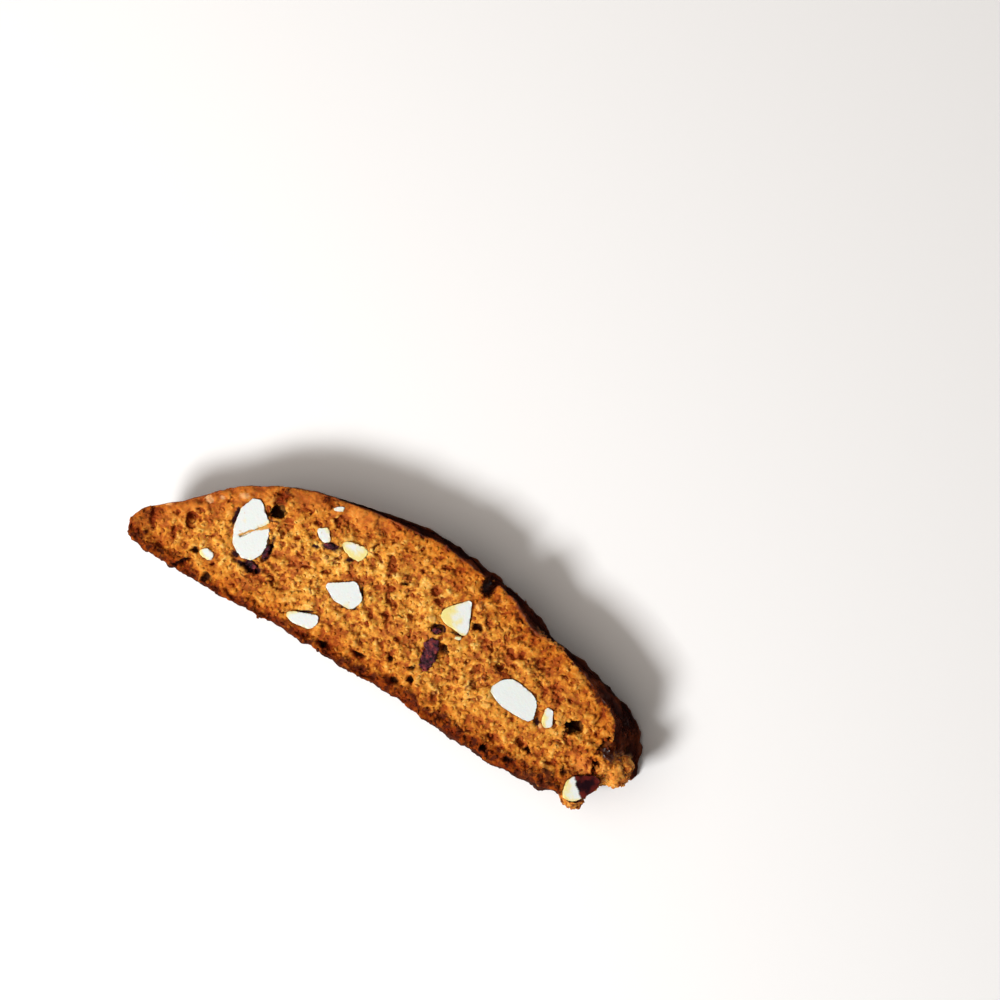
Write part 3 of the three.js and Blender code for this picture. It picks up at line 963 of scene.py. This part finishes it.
    def _opened(self, add: Adder, place: Feed, from_wall: Feed, from_nut: Feed, nut_way: Feed) -> dict[str, Feed]:
        """Finds the cut sides' holes, pits and crevices, and the skin and painted shadow that cling beside the nuts.

        Args:
            add: Adds a node.
            place: The place in millimetres.
            from_wall: The distance from the outer wall, in millimetres.
            from_nut: The distance from the nearest nut, in millimetres.
            nut_way: The direction away from that nut.

        Returns:
            The masks by name.
        """
        level = add(SPLIT, place).outputs["Z"]
        rest = add(MATH, FACE_MM, level, **MINUS)
        depth = add(MATH, level, rest, **LOWEST)
        # Painted shade: deep in the holes and in the pits, the crumb is painted near black
        hollow = add(RANGE, depth, *self.hollow_shade_mm, **STEP)
        for value, low, high in ((from_wall, 1.2, 2.4), (from_nut, 0.3, 0.9)):
            share = add(RANGE, value, low, high, **STEP)
            hollow = add(MATH, hollow, share, **TIMES)
        pits = any_of(add, PITS, place)
        hollow = add(MATH, hollow, pits, **HIGHEST)
        # Skin and painted shadow beside the nuts on the lower levels, reaching furthest on one side
        lower = add(RANGE, level, 10.0, 6.0, **STEP)
        lee = add(VECTOR, nut_way, self.shadow_side, **DOT)
        lee = add(MATH, lee, 0.45, -0.8, **MADD)
        cloud = add(NOISE, place, 1 / 2.4, 2.0)
        reach = add(MATH, cloud, 2.4, lee, **MADD)
        beyond = add(MATH, from_nut, reach, **MINUS)
        lee_skin_and_shadow = add(RANGE, beyond, 0.1, -0.05, **STEP)
        lee_skin_and_shadow = add(MATH, lee_skin_and_shadow, lower, **TIMES)
        nut_skin = add(MATH, any_of(add, SKIN_AND_SHADOW_EDGES, place), lee_skin_and_shadow, **HIGHEST)
        return {"hollow": hollow, "pits": pits, "crevice": any_of(add, CREVICES, place),
                "pale": any_of(add, PALE, place), "nut_skin": nut_skin, "blister": any_of(add, BLISTERS, place)}

    def _height(self, add: Adder, place: Feed, masks: dict[str, Feed], from_nut: Feed) -> Feed:
        """Works out the relief in millimetres.

        Args:
            add: Adds a node.
            place: The place in millimetres.
            masks: The masks by name. Those that the finish doesn't read are taken out.
            from_nut: The distance from the nearest nut, in millimetres.

        Returns:
            What gives the height.
        """
        dough = add(NOISE, place, 1 / DOUGH_MM, 2.0, 0.6)
        crumb = add(MATH, dough, self.dough_mm, -0.5 * self.dough_mm, **MADD)
        for lumps in (COARSE_LUMPS, FINE_LUMPS):
            crumb = add(MATH, crumb, lumps.height(add, place), **PLUS)
        for pores in (LARGE_PORES, SMALL_PORES):
            crumb = add(MATH, pores.depth(add, place), -pores.sunk_mm, crumb, **MADD)
        worn = add(MATH, masks["worn"], -0.35, 1.0, **MADD)
        calm = add(MATH, masks.pop("upright"), -0.6, 1.0, **MADD)
        beside = add(RANGE, from_nut, 0.3, 1.4, 0.35, 1.0, **STEP)
        fresh = add(MATH, masks["fresh"], -0.55, 1.0, **MADD)
        for share in (worn, calm, beside, fresh):
            crumb = add(MATH, crumb, share, **TIMES)
        hugging = add(RANGE, from_nut, 1.2, 0.5, **STEP)
        for mask, rise in (
            (masks.pop("pits"), -self.pit_mm), (masks["crevice"], -self.crevice_mm),
            (masks["nut_skin"], -self.skin_mm), (hugging, self.hug_mm),
        ):
            crumb = add(MATH, mask, rise, crumb, **MADD)
        wrinkles = add(NOISE, place, 1 / self.wrinkle_waves_mm, 3.0, 0.5)
        wrinkles = add(MATH, wrinkles, -0.5, **PLUS)
        swing = add(MATH, masks.pop("right"), self.wilder_mm, self.wrinkle_mm, **MADD)
        wrinkles = add(MATH, wrinkles, swing, **TIMES)
        crags = add(NOISE, place, 1 / self.crag_waves_mm, 4.0, 0.65)
        crags = add(MATH, crags, self.crag_mm, -0.5 * self.crag_mm, **MADD)
        wrinkles = add(MATH, masks.pop("blister"), self.blister_mm, wrinkles, **MADD)
        bark = add(MIX, masks["base_side"], wrinkles, crags)
        return add(MIX, masks["crust"], crumb, bark)

    @staticmethod
    def _distance(add: Adder, helper: Piece) -> tuple[Node, Node]:
        """Measures how near a helper's surface is.

        Args:
            add: Adds a node.
            helper: The helper.

        Returns:
            The node of the distance in millimetres, and that of the direction away from the surface.
        """
        source = add("GeometryNodeObjectInfo", helper).outputs["Geometry"]
        near = add("GeometryNodeProximity", source, target_element="FACES")
        position = add("GeometryNodeInputPosition")
        away = add(VECTOR, position, near.outputs["Position"], **MINUS)
        distance = add(MATH, near.outputs["Distance"], 1 / MM, **TIMES)
        return distance, add(VECTOR, away, operation="NORMALIZE")


class CutSide(Enum):
    """The two cut sides of the slice, by the way they face."""

    UPPER = 1
    LOWER = -1


@dataclass
class Grains:
    """Grains of crumb that stand up from a cut side, half sunk in it."""

    spacing_mm: float = 1.3
    radii_mm: Pair = (0.22, 0.55)
    rough_mm: float = 0.28
    waves_mm: float = 0.7
    per_mm2: float = 6.0
    tones: Pair = (-0.1, 0.08)
    seed: int = 5

    def build(self, source: Piece, side: CutSide) -> Piece:
        """Builds the grains of one side.

        Args:
            source: The finished slice, whose surface they lie on.
            side: The cut side.

        Returns:
            The finished piece.
        """
        piece = bpy.data.objects.new(f"crumb_grains_{side.name.lower()}", source.data.copy())
        bpy.context.scene.collection.objects.link(piece)
        finish_modifier(piece, "NODES", node_group=self._scatter(side))
        return dress(piece, source.data.materials[0])

    def _scatter(self, side: CutSide) -> Tree:
        """Makes the nodes that spread the grains.

        Args:
            side: The cut side.

        Returns:
            The tree.
        """
        tree, add, mesh, result = geometry_tree("crumb_grains")
        facing = add(SPLIT, add("GeometryNodeInputNormal")).outputs["Z"]
        outward = add(MATH, facing, float(side.value), **TIMES)
        if side is CutSide.UPPER:
            torn = add(HELD, "fresh", **NUMBER)
            outward = add(MATH, torn, outward, **HIGHEST)
        allowed = add(MATH, outward, 0.5, operation="GREATER_THAN")
        for name, comparison, limit in (
            ("crust", "LESS_THAN", 0.5), ("hollow", "LESS_THAN", 0.3), ("nut_skin", "LESS_THAN", 0.3),
            ("worn", "LESS_THAN", 0.6), ("near_nut", "GREATER_THAN", 0.4),
        ):
            held = add(HELD, name, **NUMBER)
            fits = add(MATH, held, limit, operation=comparison)
            allowed = add(MATH, allowed, fits, **TIMES)
        points = add(
            "GeometryNodeDistributePointsOnFaces", distribute_method="POISSON",
            named={"Mesh": mesh, "Distance Min": self.spacing_mm * MM, "Density Max": self.per_mm2 / MM ** 2,
                   "Density Factor": allowed, "Seed": self.seed},
        )
        grain = add("GeometryNodeMeshUVSphere", 7, 5, MM)
        small, large = self.radii_mm
        size, turn = (
            add(RANDOM, (low,) * 3, (high,) * 3, data_type="FLOAT_VECTOR", named={"Seed": seed})
            for low, high, seed in ((small, large, self.seed + 1), (0.0, math.tau, self.seed + 2))
        )
        instances = add(
            "GeometryNodeInstanceOnPoints",
            named={"Points": points, "Instance": grain, "Rotation": turn, "Scale": size},
        )
        tone = add(RANDOM, *self.tones, **NUMBER, named={"Seed": self.seed + 3})
        toned = add(STORE, **NUMBER, domain="INSTANCE", named={"Geometry": instances, "Name": "shade", "Value": tone})
        real = add("GeometryNodeRealizeInstances", toned)
        cloud = add(NOISE, here_mm(add), 1 / self.waves_mm, 2.0).outputs["Color"]
        centred = add(VECTOR, cloud, (0.5,) * 3, **MINUS)
        offset = add(VECTOR, centred, 2 * self.rough_mm * MM, **SCALE)
        end_moved(add, real, offset, result)
        return tree


@dataclass(frozen=True)
class NutLook:
    """What sets one piece of almond apart: how creamy and ragged it is, its skin and its crack.

    It is creamier towards one side by a share of its size. Its outline wavers over uneven_mm, in waves
    of waves_mm. Each skin covers what lies beyond a line through a place (the first two numbers),
    towards a direction (the last two).
    """

    cream: float = 0.0
    creamier: float = 0.0
    creamy_side: Pair = (-0.86, -0.52)
    uneven_mm: float = 0.4
    waves_mm: float = 1.3
    skins: tuple[tuple[float, float, float, float], ...] = ()
    crack: tuple[float, float, float, float] | None = None


NUT_LOOKS = {
    "almond_upper_01_half": NutLook(crack=(20.6, 12.5, 25.0, 17.4), uneven_mm=0.8, waves_mm=2.6),
    "almond_upper_02_block": NutLook(uneven_mm=0.15),
    "almond_upper_03_sliver": NutLook(cream=0.05, creamier=0.3, creamy_side=(-0.24, -0.97), uneven_mm=0.2),
    "almond_upper_04_chip": NutLook(cream=0.04),
    "almond_upper_05_nib": NutLook(cream=0.3, creamier=0.15, creamy_side=(-0.24, -0.97)),
    "almond_upper_06_wedge": NutLook(cream=0.24, creamier=0.35, uneven_mm=0.2),
    "almond_upper_07_skin": NutLook(uneven_mm=1.6, waves_mm=1.0),
    "almond_upper_08_lens": NutLook(uneven_mm=0.15),
    "almond_upper_09_splinter": NutLook(cream=0.12, creamier=0.4, uneven_mm=0.3),
    "almond_upper_10_crumbled": NutLook(cream=0.15, creamier=0.3, uneven_mm=0.6),
    "almond_upper_11_corner": NutLook(
        cream=0.12, creamier=0.3, creamy_side=(-0.5, -0.86), uneven_mm=0.3, skins=((104.8, 4.2, 0.69, 0.72),),
    ),
}


@dataclass
class AlmondPieces:
    """The chopped almonds in their pockets."""

    lowered_mm: float = 0.15
    grown_mm: float = 0.2
    voxel_mm: float = 0.2
    kernel: AlmondKernel = field(default_factory=AlmondKernel)
    skin: AlmondSkin = field(default_factory=AlmondSkin)

    def build(self) -> list[Piece]:
        """Builds each piece of almond.

        Returns:
            The finished pieces.
        """
        flesh = self.kernel.material()
        skin = self.skin.material()
        pieces = []
        for node in sorted(name for name in frame["nodes"] if name.startswith("almond_")):
            is_skin = node.endswith("_skin")
            piece = copy_of_node(node, "chopped_" + node)
            finish_modifier(piece, "REMESH", mode="VOXEL", voxel_size=self.voxel_mm * MM)
            finish_modifier(piece, "SMOOTH", factor=0.5, iterations=1)
            corners = [Vector(corner) for corner in piece.bound_box]
            shape = self._shape(NUT_LOOKS.get(node, NutLook()), (corners[0] + corners[6]) / 2 / MM,
                                (corners[6] - corners[0]).length / 2 / MM)
            finish_modifier(piece, "NODES", node_group=shape)
            dress(piece, skin if is_skin else flesh)
            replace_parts(piece, node)
            pieces.append(piece)
        return pieces

    def _shape(self, look: NutLook, middle: Vector, reach: float) -> Tree:
        """Makes the nodes that roughen a piece, press it against the crumb and keep what its finish reads.

        Args:
            look: What sets the piece apart.
            middle: The piece's middle, in millimetres.
            reach: Half the length of its box's diagonal, in millimetres.

        Returns:
            The tree.
        """
        tree, add, mesh, result = geometry_tree("almond_piece")
        normal = add("GeometryNodeInputNormal")
        place = here_mm(add)
        facing = add(SPLIT, normal)
        level = add(MATH, facing.outputs["Z"], operation="ABSOLUTE")
        side = add(RANGE, level, 0.98, 0.75, **STEP)
        cut_edge = add("GeometryNodeBlurAttribute", side, 4, **NUMBER)
        offset = add(VECTOR, place, middle[:], **MINUS)
        aside = add(VECTOR, offset, (*look.creamy_side, 0.0), **DOT)
        cream = add(MATH, aside, look.creamier / reach, look.cream, **MADD)
        skin, crack = self._skin(add, place, look), self._crack(add, place, look)
        mesh = keep_on_mesh(add, mesh, {"cut_edge": cut_edge, "cream": cream, "skin": skin, "crack": crack})
        chips = add(NOISE, place, 1 / look.waves_mm, 3.0, 0.6)
        chips = add(MATH, chips, 2.0, -1.0, **MADD)
        outward = add(MATH, chips, look.uneven_mm, self.grown_mm, **MADD)
        pressed = add(RANGE, level, 0.1, 0.5, 0.0, -self.lowered_mm, **STEP)
        inward = add(MATH, add(MATH, facing.outputs["Z"], operation="SIGN"), pressed, **TIMES)
        flat = add(JOIN, facing.outputs["X"], facing.outputs["Y"], 0.0)
        flat = add(VECTOR, flat, outward, **SCALE)
        offset = add(VECTOR, flat, add(JOIN, 0.0, 0.0, inward), **PLUS)
        offset = add(VECTOR, offset, MM, **SCALE)
        end_moved(add, mesh, offset, result)
        return tree

    @staticmethod
    def _skin(add: Adder, place: Feed, look: NutLook) -> Feed:
        """Gives 1 on the side that has its skin and 0 elsewhere.

        Args:
            add: Adds a node.
            place: The place in millimetres.
            look: What sets the piece apart.

        Returns:
            The mask's node, or 0 where there is no skin.
        """
        cloud = add(NOISE, place, 1 / 1.3, 3.0)
        covered = 0.0
        for along, up, *towards in look.skins:
            offset = add(VECTOR, place, on_slice(along, up, 0.0), **MINUS)
            beyond = add(VECTOR, offset, (*towards, 0.0), **DOT)
            beyond = add(MATH, beyond, -0.7, **PLUS)
            wavy = add(MATH, cloud, 1.4, beyond, **MADD)
            mask = add(RANGE, wavy, -0.1, 0.1, **STEP)
            covered = add(MATH, mask, covered, **HIGHEST)
        return covered

    @staticmethod
    def _crack(add: Adder, place: Feed, look: NutLook) -> Feed:
        """Gives 1 in the piece's crack and 0 elsewhere. The crack is a thin line that widens to its end.

        Args:
            add: Adds a node.
            place: The place in millimetres.
            look: What sets the piece apart.

        Returns:
            The mask's node, or 0 where there is no crack.
        """
        if look.crack is None:
            return 0.0
        start = Vector(on_slice(*look.crack[:2], 0.0))
        run = Vector(on_slice(*look.crack[2:], 0.0)) - start
        across = Vector((-run.y, run.x, 0.0)).normalized()
        offset = add(VECTOR, place, start[:], **MINUS)
        aside, along = (add(VECTOR, offset, axis[:], **DOT) for axis in (across, run.normalized()))
        within = add(RANGE, along, -0.2, 0.4, **STEP)
        cloud = add(NOISE, place, 1 / 1.0, 2.0)
        aside = add(MATH, cloud, 0.6, aside, **MADD)
        aside = add(MATH, add(MATH, aside, -0.3, **PLUS), operation="ABSOLUTE")
        width = add(MATH, along, 0.08, **TIMES)
        beyond = add(MATH, aside, width, **MINUS)
        thin = add(RANGE, beyond, 0.18, 0.0, **STEP)
        return add(MATH, thin, within, **TIMES)


@dataclass(frozen=True)
class Bit:
    """A small bit set in a cut side: how far along and up it lies, its radii, its turn and how deep it sits."""

    along: float
    up: float
    radii: Triple
    turn_deg: float = 0.0
    below_mm: float = 0.0


CHIPS = (Bit(35.4, 27.5, (1.1, 0.5, 0.7), 31), Bit(69.1, 17.6, (0.7, 0.35, 0.6), 30))
SKIN_FLAKES = (
    Bit(64.6, 16.6, (0.8, 0.5, 0.4), 31, 0.15), Bit(25.9, 8.9, (1.2, 0.7, 0.8), 10),
    Bit(27.3, 12.6, (0.4, 1.4, 0.8), 3), Bit(38.2, 20.3, (1.7, 0.5, 0.8), 14),
)
CRUMB_FLAKES = (
    Bit(25.5, 18.0, (1.3, 0.8, 0.6), 50), Bit(77.7, 13.0, (0.6, 0.6, 0.6)), Bit(69.6, 25.2, (0.7, 0.9, 0.7)),
    Bit(108.3, 9.3, (1.9, 1.6, 2.0), 20, 2.6), Bit(110.2, 11.3, (2.0, 1.8, 2.0), 0, 3.2),
    Bit(110.7, 8.9, (1.6, 1.5, 1.8), 0, 3.6), Bit(111.2, 12.4, (1.9, 2.1, 2.6), 0, 3.6),
    Bit(111.6, 10.3, (1.8, 1.8, 2.6), 0, 4.2),
)


@dataclass
class Bits:
    """Small ragged bits on the cut side that shows, made as one piece of each kind."""

    name: str
    slot: str
    cut_mm: float = TOP_MM
    rough_mm: float = 0.85
    waves_mm: float = 0.85

    def build(self, bits: tuple[Bit, ...], finish: Material) -> Piece:
        """Builds the bits of one kind.

        Args:
            bits: Where they are and how large.
            finish: Their material.

        Returns:
            The finished piece.
        """
        made = []
        for bit in bits:
            place = Vector(on_slice(bit.along, bit.up, FACE_MM - bit.below_mm - 0.5 * bit.radii[2])) * MM
            bpy.ops.mesh.primitive_ico_sphere_add(subdivisions=4, radius=MM, location=place)
            made.append(bpy.context.object)
            made[-1].scale = bit.radii
            made[-1].rotation_euler = (0, 0, math.radians(bit.turn_deg))
        piece = pick(*made)
        bpy.ops.object.join()
        piece.name = piece.data.name = self.name
        bpy.ops.object.transform_apply(location=True, rotation=True, scale=True)
        finish_modifier(piece, "NODES", node_group=self._ragged())
        return dress(piece, finish)

    def _ragged(self) -> Tree:
        """Makes the nodes that break up the bits' round forms.

        Returns:
            The tree.
        """
        tree, add, mesh, result = geometry_tree("ragged_bits")
        place = here_mm(add)
        # The bits take the torn end's painted light
        mesh = keep_on_mesh(add, mesh, {"cream": 0.25, "fresh": 1.0})
        cloud = add(NOISE, place, 1 / self.waves_mm, 3.0, 0.6).outputs["Color"]
        centred = add(VECTOR, cloud, (0.5,) * 3, **MINUS)
        offset = add(VECTOR, centred, 2 * self.rough_mm * MM, **SCALE)
        end_moved(add, mesh, offset, result, self.cut_mm)
        return tree


@dataclass
class Studio:
    """The pale table, the lights and the camera."""

    across_mm: float = 200.0
    distance_mm: float = 472.0
    turn_deg: float = 31.0
    aim_mm: Pair = (4.13, 29.67)
    sensor_mm: float = 36.0
    table_m: float = 3.0
    table_colour: str = "#f4f4f4"
    table_roughness: float = 0.9
    surround_colour: str = "#f6f0ea"
    surround_power: float = 0.13

    def build(self) -> None:
        """Sets up the floor, the light and the camera."""
        self._floor()
        self._lights()
        self._camera()

    def _floor(self) -> None:
        """Lays a pale floor under the slice."""
        deselect_all()
        bpy.ops.mesh.primitive_plane_add(size=self.table_m)
        floor = bpy.context.object
        floor.name = "pale_table"
        made, _ = start_finish("white_painted_table")
        fed = {"Base Color": linear(self.table_colour), "Roughness": self.table_roughness}
        floor.data.materials.append(end_finish(made, fed))
        floor.visible_glossy = False

    def _lights(self) -> None:
        """Hangs a key light at the image's left, a weak fill and a glint lamp, in a surround that no gloss mirrors.

        Each lamp has its name, its place across and up the image and above the table in metres, its
        width, its colour and its power.
        """
        turn = Matrix.Rotation(math.radians(self.turn_deg), 3, "Z")
        for name, spot, size, code, power in (
            ("key", (-0.45, -0.32, 0.6), 0.22, "#ffffff", 7.2),
            ("fill", (-0.4, 0.1, 0.7), 0.7, "#fff3e8", 2.7),
            ("glint", (0.5, 0.25, 0.1), 0.08, "#ffffff", 1.2),
        ):
            place = turn @ Vector(spot)
            bpy.ops.object.light_add(type="AREA", location=place)
            lamp = bpy.context.object
            lamp.name = name
            lamp.data.size = size
            lamp.data.energy = power
            lamp.data.color = linear(code)[:3]
            lamp.visible_glossy = name != "fill"
            lamp.visible_diffuse = name != "glint"
            lamp.rotation_euler = (-place).to_track_quat("-Z", "Y").to_euler()
        world = bpy.data.worlds.new("surround")
        bpy.context.scene.world = world
        world.use_nodes = True
        background = world.node_tree.nodes["Background"]
        background.inputs["Color"].default_value = linear(self.surround_colour)
        background.inputs["Strength"].default_value = self.surround_power
        world.cycles_visibility.glossy = False
        bpy.context.scene.view_settings.view_transform = "Standard"

    def _camera(self) -> None:
        """Looks straight down, turned so that the slice runs as in the photograph."""
        camera = bpy.data.cameras.new("camera")
        camera.sensor_width = self.sensor_mm
        camera.lens = self.sensor_mm * self.distance_mm / self.across_mm
        holder = bpy.data.objects.new("camera", camera)
        bpy.context.scene.collection.objects.link(holder)
        holder.location = Vector((*self.aim_mm, FACE_MM + self.distance_mm)) * MM
        holder.rotation_euler = (0, 0, math.radians(self.turn_deg))
        bpy.context.scene.camera = holder


def main() -> None:
    """Builds the biscuit and its studio, and reports each piece."""
    logging.basicConfig(level=logging.INFO, format="%(name)s: %(message)s")
    Studio().build()
    body = Slice().build()
    grains = [Grains().build(body, side) for side in CutSide]
    nuts = AlmondPieces()
    crumb = body.data.materials[0]
    bits = [
        Bits("tiny_almond_chips", "almond_kernel", FACE_MM, 0.4).build(CHIPS, nuts.kernel.material()),
        Bits("almond_skin_flakes", "almond_skin", FACE_MM - 0.1).build(SKIN_FLAKES, nuts.skin.material()),
        Bits("crumb_flakes", "baked_crumb", rough_mm=0.8, waves_mm=2.0).build(CRUMB_FLAKES, crumb),
    ]
    for piece in [body, *grains, *nuts.build(), *bits]:
        LOG.info("%s: %d triangles", piece.name, sum(len(face.vertices) - 2 for face in piece.data.polygons))


if __name__ == "__main__":
    main()
